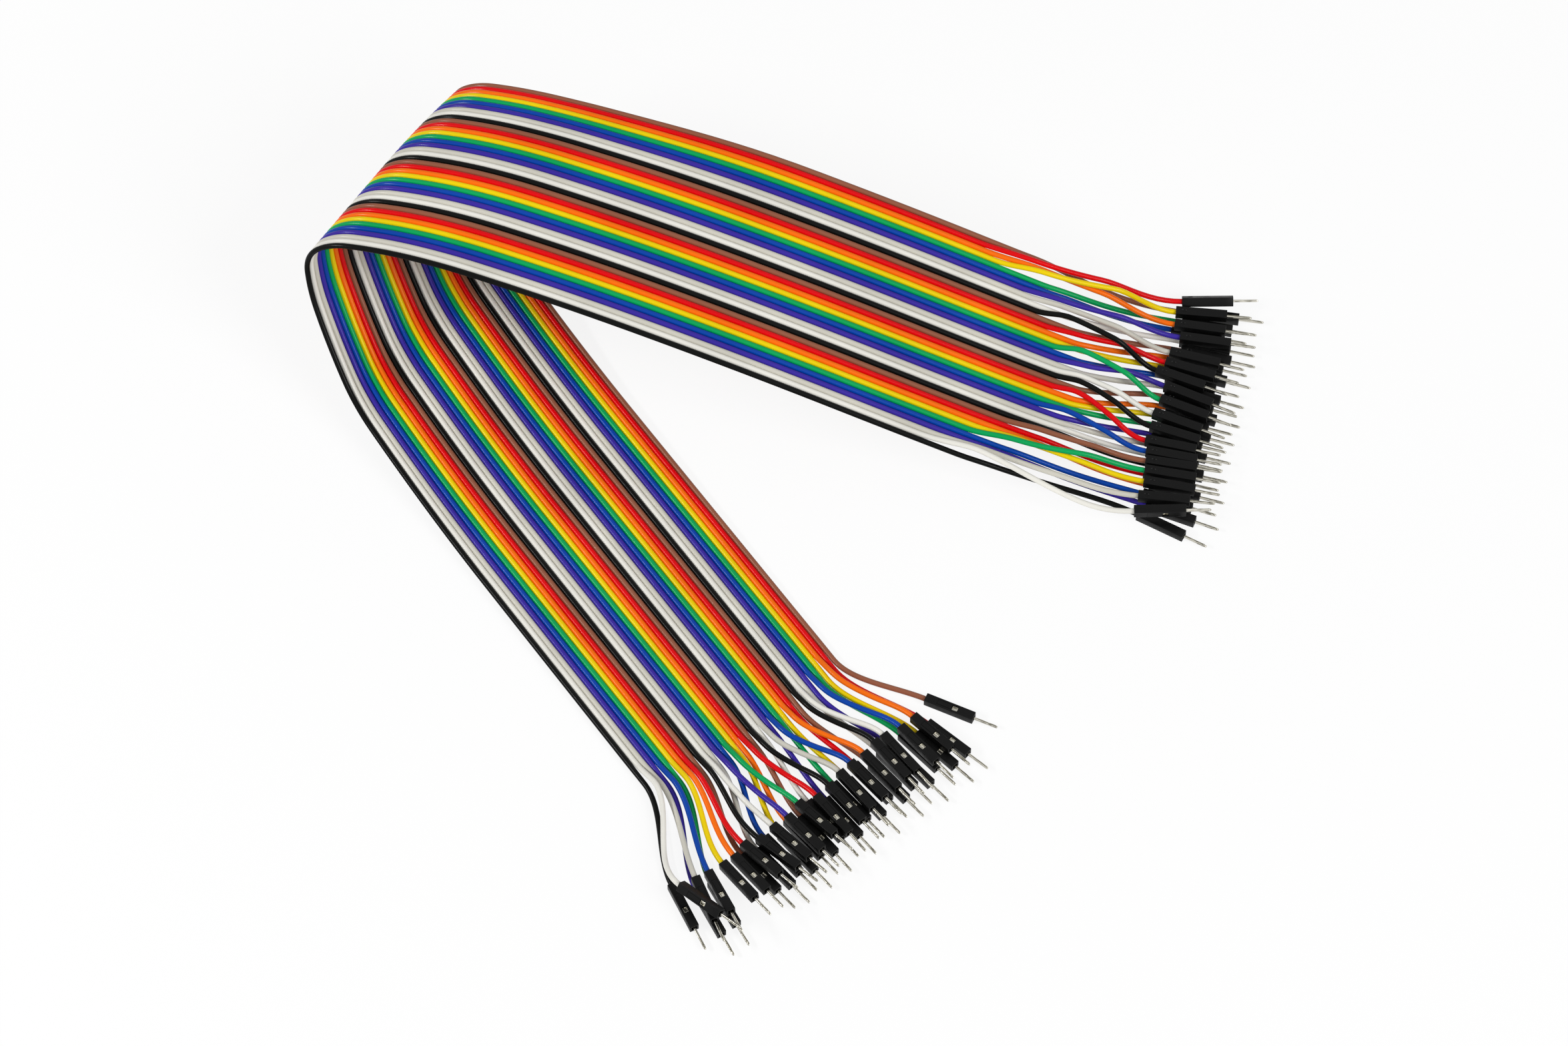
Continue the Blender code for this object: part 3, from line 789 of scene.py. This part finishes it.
@dataclass
class SquareProfile:
    """A ring round a square with rounded corners: the +Y flank, latch side, -Y flank and plain side in turn.

    Each sample has a corner box coordinate and a normal, and its point is the half width less the corner
    radius times the first, plus the radius times the second.
    """

    latch_side: tuple[float, ...]
    plain_side: tuple[float, ...]
    flanks: tuple[float, ...] = (-1.0, 0.0, 1.0)
    corner_turns: tuple[float, ...] = (22.5, 45.0, 67.5)
    boxes: np.ndarray = field(init=False)
    normals: np.ndarray = field(init=False)

    def __post_init__(self) -> None:
        """Works out each sample's corner box coordinate and normal, as rows of y and z."""
        boxes, normals = [], []
        sides = (self.flanks, self.latch_side, self.flanks, self.plain_side)
        for quarter, fractions in enumerate(sides):
            turn = math.radians(90 * quarter)
            cosine, sine = math.cos(turn), math.sin(turn)
            spin = np.array(((cosine, sine), (-sine, cosine)))
            flat = np.array([(1.0, fraction) for fraction in fractions])
            boxes.append(flat @ spin)
            normals.append(np.tile((1.0, 0.0), (len(fractions), 1)) @ spin)
            bend = np.radians(self.corner_turns)
            boxes.append(np.tile((1.0, 1.0), (len(bend), 1)) @ spin)
            normals.append(np.stack((np.cos(bend), np.sin(bend)), axis=-1) @ spin)
        self.boxes, self.normals = np.concatenate(boxes), np.concatenate(normals)

    def carried(
        self, stations: np.ndarray, halves: np.ndarray, radii: np.ndarray, offset: np.ndarray
    ) -> Loft:
        """Carries the ring along +X.

        Args:
            stations: The x of each ring.
            halves: Half the ring's width.
            radii: Its corner radius.
            offset: How far each sample stands proud of the ring, along its normal.

        Returns:
            The closed surface.
        """
        proud = (radii[:, None] + offset)[..., None]
        flat = (halves - radii)[:, None, None] * self.boxes + proud * self.normals
        x = np.broadcast_to(stations[:, None, None], flat.shape[:2] + (1,))
        rings = np.concatenate((x, flat), axis=-1)
        loop = np.concatenate((rings, rings[:, :1]), axis=1)
        lengths = np.cumsum(np.linalg.norm(np.diff(loop, axis=1), axis=2), axis=1)
        girth = np.concatenate((np.zeros((len(rings), 1)), lengths), axis=1)
        uv = np.stack((np.broadcast_to(stations[:, None], girth.shape), girth), axis=-1)
        return Loft(rings, uv)


@dataclass
class CrimpHousing:
    """The black single-way housing: a square shell with a wire hole, a latch tongue, a window and a mouth."""

    length: float = 14 * MM
    half: float = 1.27 * MM
    corner: float = 0.13 * MM
    bevel: float = 0.1 * MM
    hole_half: float = 0.86 * MM
    hole_depth: float = 1.6 * MM
    mouth_half: float = 0.75 * MM
    mouth_depth: float = 1.3 * MM
    lead_in: float = 0.12 * MM
    window: tuple[float, float] = (7.6 * MM, 9.4 * MM)
    window_half: float = 0.65 * MM
    window_depth: float = 0.8 * MM
    tongue_root: float = 3.5 * MM
    slit: float = 0.07 * MM
    slit_depth: float = 0.12 * MM
    hinge_half: float = 1.12 * MM
    hinge_depth: float = 0.07 * MM
    dimple_at: float = 2.3 * MM
    dimple_half: tuple[float, float] = (0.8 * MM, 0.5 * MM)
    dimple_depth: float = 0.22 * MM
    dimple_slope: float = 0.4
    gate_mark: float = 0.12 * MM
    gate_reach: float = 0.5
    wall: float = 0.015 * MM
    dimple_rings: int = 13
    plain_rings: tuple[float, float] = (5.5 * MM, 11.5 * MM)

    def profile(self) -> SquareProfile:
        """Puts the ring's samples where the window, the slits and the dimple need edges.

        Returns:
            The profile.
        """
        flat = self.half - self.corner
        outer = self.window_half + self.slit
        edges = (self.window_half - self.wall, self.window_half, outer, outer + self.wall, self.hinge_half)
        latch = [y / flat for y in edges] + [1.0]
        dimple = [self.dimple_half[1] * share / flat for share in (0.2, 0.4, 0.6, 0.8, 1.0)] + [1.0]
        return SquareProfile(
            latch_side=(*(-share for share in reversed(latch)), 0.0, *latch),
            plain_side=(*(-share for share in reversed(dimple)), 0.0, *dimple),
        )

    def relief(self, x: np.ndarray, y: np.ndarray, up: np.ndarray) -> np.ndarray:
        """How far the skin stands proud of the plain square, which is never more than nothing.

        The window is a flat-bottomed well, the two slits run back from its corners along the tongue, and the
        hinge is a shallow line across the tongue's root. The dimple on the plain side is an oval: with r the
        distance from its middle over its half axes, it falls as smooth((1 - r) / slope), and the mould's gate
        mark rises in it as smooth((reach - r) / slope).

        Args:
            x: The length of each sample from the back.
            y: Its place across.
            up: 1 on the latch side, -1 on the plain side and 0 elsewhere.

        Returns:
            The offsets, nothing or below.
        """
        side = np.abs(y)
        in_window = (x > self.window[0]) & (x < self.window[1]) & (side < self.window_half)
        outer = self.window_half + self.slit + self.wall / 2
        beside = (side > self.window_half - self.wall / 2) & (side < outer)
        in_slit = (x > self.tongue_root) & (x < self.window[1]) & beside
        in_hinge = (np.abs(x - self.tongue_root) < self.slit / 2) & (side < self.hinge_half - self.wall)
        latch = np.where(in_window, -self.window_depth, 0.0)
        latch = np.where(in_slit & ~in_window, -self.slit_depth, latch)
        latch = np.where(in_hinge & ~in_slit, -self.hinge_depth, latch)
        along, over = (x - self.dimple_at) / self.dimple_half[0], y / self.dimple_half[1]
        radius = np.hypot(along, over)
        gate = self.gate_mark * smooth((self.gate_reach - radius) / self.dimple_slope)
        dimple = gate - self.dimple_depth * smooth((1 - radius) / self.dimple_slope)
        return np.where(up > 0.5, latch, np.where(up < -0.5, dimple, 0.0))

    def body_stations(self) -> np.ndarray:
        """Spaces the rings along the body, with a pair at each edge that falls steeply.

        Returns:
            The lengths, in order.
        """
        root, half_slit = self.tongue_root, self.slit / 2
        dimple = self.dimple_at + self.dimple_half[0] * np.linspace(-1, 1, self.dimple_rings)
        edges = (root - half_slit, root + half_slit, *self.window)
        pairs = [edge + way * self.wall for edge in edges for way in (-1, 1)]
        return np.sort((*dimple, *pairs, *self.plain_rings, sum(self.window) / 2))

    def end(self, opening: float, depth: float) -> list[tuple[float, float]]:
        """Lists the rings of one end, from the floor of its opening along its wall, out and over the bevel.

        Args:
            opening: Half the opening's width.
            depth: How deep it goes.

        Returns:
            The distance of each ring from the end, and half its width.
        """
        chamfer = 0.3 * self.bevel
        return [
            (depth, opening),
            (self.lead_in, opening),
            (0.0, opening + self.lead_in),
            (0.0, self.half - self.bevel),
            (chamfer, self.half - chamfer),
            (self.bevel, self.half),
        ]

    def surface(self) -> Loft:
        """The whole shell as one carried ring.

        It starts at the floor of the wire hole, goes over the back, along the body and over the front, and
        ends at the floor of the mouth.

        Returns:
            The closed surface, in the connector's own frame.
        """
        corner = self.corner
        body = self.body_stations()
        back = self.end(self.hole_half, self.hole_depth)
        front = [(self.length - x, half) for x, half in reversed(self.end(self.mouth_half, self.mouth_depth))]
        stations, halves = np.array([*back, *((x, self.half) for x in body), *front]).T
        profile = self.profile()
        up = profile.normals[:, 1].round(6)
        y = (self.half - corner) * profile.boxes[:, 0]
        offset = np.zeros((len(stations), len(y)))
        rows = slice(len(back), len(back) + len(body))
        offset[rows] = self.relief(body[:, None], y[None, :], up[None, :])
        return profile.carried(stations, halves, np.full(len(stations), corner), offset)


@dataclass
class CrimpTerminal:
    """The stamped terminal: a folded square pin with a seam and a rounded tip, and the top of its box."""

    width: float = 0.64 * MM
    corner: float = 0.1 * MM
    root: float = 12.5 * MM
    mouth: float = 14 * MM
    reach: float = 6.8 * MM
    taper: float = 0.9 * MM
    tip_half: float = 0.07 * MM
    seam: float = 0.08 * MM
    seam_depth: float = 0.13 * MM
    # Where the seam starts to run out and where the last full ring stands, in tapers before the tip
    seam_end: float = 1.5
    last_ring: float = 1.2
    hidden_ring: float = 13.6 * MM
    tip_rings: int = 8
    tip_fullness: float = 0.8
    # The corner's radius is at most this share of the half width
    corner_share: float = 0.6
    shoulder: tuple[float, float] = (7.68 * MM, 9.32 * MM)
    shoulder_half: float = 0.61 * MM
    shoulder_top: float = 1.02 * MM
    rim: float = 0.17 * MM
    edge: float = 0.06 * MM
    tray_depth: float = 0.4 * MM
    tray_wall: float = 0.02 * MM

    def pin(self) -> Loft:
        """The folded pin: a rounded square carried along +X, with its seam pressed in on both sides.

        The seam is a groove whose depth falls off from its middle, and it runs out before the tip. The tip's
        half width falls over the taper as the cosine of a quarter turn to the power of the tip's fullness.

        Returns:
            The closed surface.
        """
        flat = self.width / 2 - self.corner
        share = self.seam / flat
        seamed = (-1.0, -share, -share / 2, 0.0, share / 2, share, 1.0)
        profile = SquareProfile(latch_side=seamed, plain_side=seamed)
        tip = self.mouth + self.reach
        ends = [tip - share * self.taper for share in (self.seam_end, self.last_ring)]
        shank = np.array((self.root, self.hidden_ring, self.mouth, *ends))
        turn = np.linspace(0, math.pi / 2, self.tip_rings)
        nose = tip - self.taper + self.taper * np.sin(turn)
        nose_half = self.tip_half + (self.width / 2 - self.tip_half) * np.cos(turn) ** self.tip_fullness
        stations = np.concatenate((shank, nose))
        halves = np.concatenate((np.full(len(shank), self.width / 2), nose_half))
        radii = np.minimum(self.corner, halves * self.corner_share)
        on_face = np.abs(profile.normals[:, 1]).round(6) == 1.0
        groove = np.where(on_face, np.clip(1 - np.abs(profile.boxes[:, 0]) / share, 0, 1), 0.0)
        fade = 1 - smooth((stations - tip + self.seam_end * self.taper) / self.taper)
        offset = -self.seam_depth * fade[:, None] * groove[None, :]
        return profile.carried(stations, halves, radii, offset)

    def shoulder_plate(self) -> Loft:
        """The shining top of the terminal's box, seen in the window: a rim round an opening in its shade.

        The top is level over the rim and falls by the tray's depth within it.

        Returns:
            The closed surface.
        """
        edge, wall = self.edge, self.tray_wall
        inside = (self.shoulder_half - self.rim) / (self.shoulder_half - edge)
        brink = inside + wall / (self.shoulder_half - edge)
        rimmed = (-1.0, -brink, -inside, 0.0, inside, brink, 1.0)
        profile = SquareProfile(latch_side=rimmed, plain_side=(-1.0, 0.0, 1.0))
        start, end = self.shoulder
        first, last = start + self.rim, end - self.rim
        body = (start + edge, first - wall, first, (start + end) / 2, last, last + wall, end - edge)
        stations = np.array((start, start, *body, end, end))
        halves = self.shoulder_half * np.array((0.4, 0.9, *([1.0] * len(body)), 0.9, 0.4))
        on_top = profile.normals[:, 1].round(6) == 1.0
        opening = on_top & (np.abs(profile.boxes[:, 0]) < (inside + brink) / 2)
        sunk = (stations > first - wall / 2) & (stations < last + wall / 2)
        offset = np.where(sunk[:, None] & opening[None, :], -self.tray_depth, 0.0)
        plate = profile.carried(stations, halves, np.minimum(edge, halves * 0.5), offset)
        raised = Matrix.Translation((0, 0, self.shoulder_top - self.shoulder_half))
        return plate.moved(raised)


@dataclass
class Finishes:
    """All the materials of the object."""

    insulation: dict[Insulation, bpy.types.Material] = field(default_factory=dict)
    housing: bpy.types.Material | None = None
    terminal: bpy.types.Material | None = None

    def __post_init__(self) -> None:
        """Makes one material for each finish."""
        self.insulation = {colour: ExtrudedPVC(colour).material() for colour in Insulation}
        # The carbon in the black compound leaves its skin duller than the others
        self.insulation[Insulation.BLACK] = ExtrudedPVC(Insulation.BLACK, gloss_level=0.08).material()
        self.housing = MouldedNylon().material()
        self.terminal = PlatedPhosphorBronze().material()


@dataclass
class Jumper:
    """One jumper: its insulated wire and, on each end, a housing and a terminal."""

    number: int
    ribbon: Ribbon
    ends: tuple[PeeledEnd, PeeledEnd]
    housing: Loft
    terminal: list[Loft]
    finishes: Finishes

    @property
    def colour(self) -> Insulation:
        """The colour of this wire, by its place in the ribbon."""
        return list(Insulation)[(self.number - 1) % len(Insulation)]

    @property
    def name(self) -> str:
        """The name of this jumper's CAD node."""
        return f"jumper_{self.number:02d}_{self.colour.name.lower()}"

    def connector(self, end: PeeledEnd) -> tuple[bpy.types.Object, bpy.types.Object]:
        """Makes the housing and the terminal at one end.

        Args:
            end: The peeled end that it lies on.

        Returns:
            The housing and the terminal.
        """
        place = end.frame(self.number)
        label = end.tail.name.lower()
        looks, shell = self.finishes, [self.housing.moved(place)]
        metal = [surface.moved(place) for surface in self.terminal]
        return (
            make_piece(f"{self.name}_{label}_housing", shell, looks.housing, HOUSING_CREASE),
            make_piece(f"{self.name}_{label}_terminal", metal, looks.terminal, TERMINAL_CREASE),
        )

    def build(self) -> list[bpy.types.Object]:
        """Makes the jumper's five pieces and ties them to the frame.

        Returns:
            The pieces.
        """
        wire = InsulatedWire(self.ribbon, self.number)
        course = wire.route(*self.ends)
        points, skin = course[0], [wire.surface(course)]
        tube = make_piece(f"{self.name}_wire", skin, self.finishes.insulation[self.colour], WIRE_CREASE)
        fittings = [piece for end in self.ends for piece in self.connector(end)]
        length = float(np.linalg.norm(np.diff(points, axis=0), axis=1).sum())
        slots = (f"{self.colour.name.lower()}_insulation", "housing", "pin", "housing", "pin")
        for piece, slot in zip((tube, *fittings), slots):
            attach(piece, BODY)
            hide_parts(self.name)
        LOG.info("%s: wire %.1f mm, %d faces in all", self.name, length / MM, faces_of([tube, *fittings]))
        return [tube, *fittings]


def faces_of(objects: Sequence[bpy.types.Object]) -> int:
    """Counts the faces of these objects."""
    return sum(len(obj.data.polygons) for obj in objects)


@dataclass
class JumperRibbon:
    """The whole object: forty jumpers in one ribbon."""

    ribbon: Ribbon = field(default_factory=Ribbon)
    lower_peel: tuple[float, float] = (28 * MM, 38 * MM)
    upper_peel: tuple[float, float] = (30 * MM, 64 * MM)

    def build(self, finishes: Finishes) -> list[bpy.types.Object]:
        """Makes all the jumpers, in order from the black edge.

        Args:
            finishes: The materials.

        Returns:
            All the pieces.
        """
        start = self.ribbon.lower_backs
        lower = PeeledEnd(self.ribbon, Tail.LOWER, LOWER_BERTHS, start, *self.lower_peel)
        end = start + self.ribbon.wire_length
        upper = PeeledEnd(self.ribbon, Tail.UPPER, UPPER_BERTHS, end, *self.upper_peel)
        housing, terminal = CrimpHousing().surface(), CrimpTerminal()
        metal = [terminal.pin(), terminal.shoulder_plate()]
        pieces = []
        for number in range(1, self.ribbon.wire_count + 1):
            pieces += Jumper(number, self.ribbon, (lower, upper), housing, metal, finishes).build()
        return pieces


def aim(obj: bpy.types.Object, direction: Vector) -> None:
    """Turns a lamp or a camera so that it looks in a direction."""
    obj.rotation_euler = direction.to_track_quat("-Z", "Y").to_euler()


@dataclass(frozen=True)
class SoftLamp:
    """A rectangular lamp: where it hangs, its width and height, all in metres, and its power in watts."""

    name: str
    place: tuple[float, float, float]
    size: tuple[float, float]
    watts: float

    def hang(self, target: tuple[float, float, float]) -> None:
        """Hangs the lamp.

        Args:
            target: The point that it shines at.
        """
        light = bpy.data.lights.new(self.name, "AREA")
        light.shape = "RECTANGLE"
        light.size, light.size_y = self.size
        light.energy = self.watts
        lamp = add_object(self.name, light)
        lamp.location = self.place
        aim(lamp, Vector(target) - Vector(self.place))


@dataclass
class Studio:
    """White sweep, soft lamps and the camera of the photograph."""

    image_width: int = 2350
    sensor_width: float = 36.0
    camera_elevation: float = 60.0
    camera_distance: float = 1.9
    camera_clip: tuple[float, float] = (0.05, 20.0)
    pixels_per_metre: float = 5567.0
    target: tuple[float, float, float] = (-0.0013, 0.0091, 0.0)
    floor_half: float = 4.0
    fill_level: float = 0.36
    lamps: tuple[SoftLamp, ...] = (
        SoftLamp("key_softbox", (1.0, -0.7, 0.98), (0.8, 0.8), 14.5),
        SoftLamp("side_strip", (-1.05, -0.18, 0.75), (0.55, 0.1), 8.5),
    )

    def floor(self) -> None:
        """Lays the white sweep: a flat grid of four points at the height of the object's base."""
        corners = np.array(((-1, -1, 0), (1, -1, 0), (1, 1, 0), (-1, 1, 0)), float) * self.floor_half
        mesh = bpy.data.meshes.new("studio_floor")
        mesh.from_pydata(corners.tolist(), [], [(0, 1, 2, 3)])
        mesh.materials.append(WhiteSweep().material())
        floor = add_object("studio_floor", mesh)

    def world(self) -> None:
        """Surrounds the scene with white that the camera and reflections see, and a weaker fill elsewhere."""
        world = bpy.data.worlds.new("studio_white")
        bpy.context.scene.world = world
        world.use_nodes = True
        tree = world.node_tree
        tree.nodes.clear()
        seen, ends = {0: seen_directly(tree)}, {1: 1.0 - self.fill_level, 2: self.fill_level}
        level = add_node(tree, "ShaderNodeMath", ends, seen, operation="MULTIPLY_ADD")
        strength = {"Strength": level.outputs[0]}
        background = add_node(tree, "ShaderNodeBackground", {"Color": (1.0, 1.0, 1.0, 1.0)}, strength)
        add_node(tree, "ShaderNodeOutputWorld", links={"Surface": background.outputs[0]})

    def camera(self) -> None:
        """Sets the camera at the photograph's viewing angle, distance and frame."""
        lens = bpy.data.cameras.new("photograph_camera")
        lens.sensor_width = self.sensor_width
        lens.lens = self.pixels_per_metre * self.camera_distance * self.sensor_width / self.image_width
        lens.clip_start, lens.clip_end = self.camera_clip
        camera = add_object("photograph_camera", lens)
        rise = math.radians(self.camera_elevation)
        back = Vector((0.0, -math.cos(rise), math.sin(rise)))
        camera.location = Vector(self.target) + back * self.camera_distance
        aim(camera, -back)
        bpy.context.scene.camera = camera

    def build(self) -> None:
        """Sets up camera, world, lamps and floor."""
        bpy.context.scene.view_settings.view_transform = "Standard"
        self.camera()
        self.world()
        for lamp in self.lamps:
            lamp.hang(self.target)
        self.floor()


def main() -> None:
    """Builds the studio and the ribbon in order, and reports them."""
    Studio().build()
    pieces = JumperRibbon().build(Finishes())
    LOG.info("%d pieces with %d faces", len(pieces), faces_of(pieces))


if __name__ == "__main__":
    main()
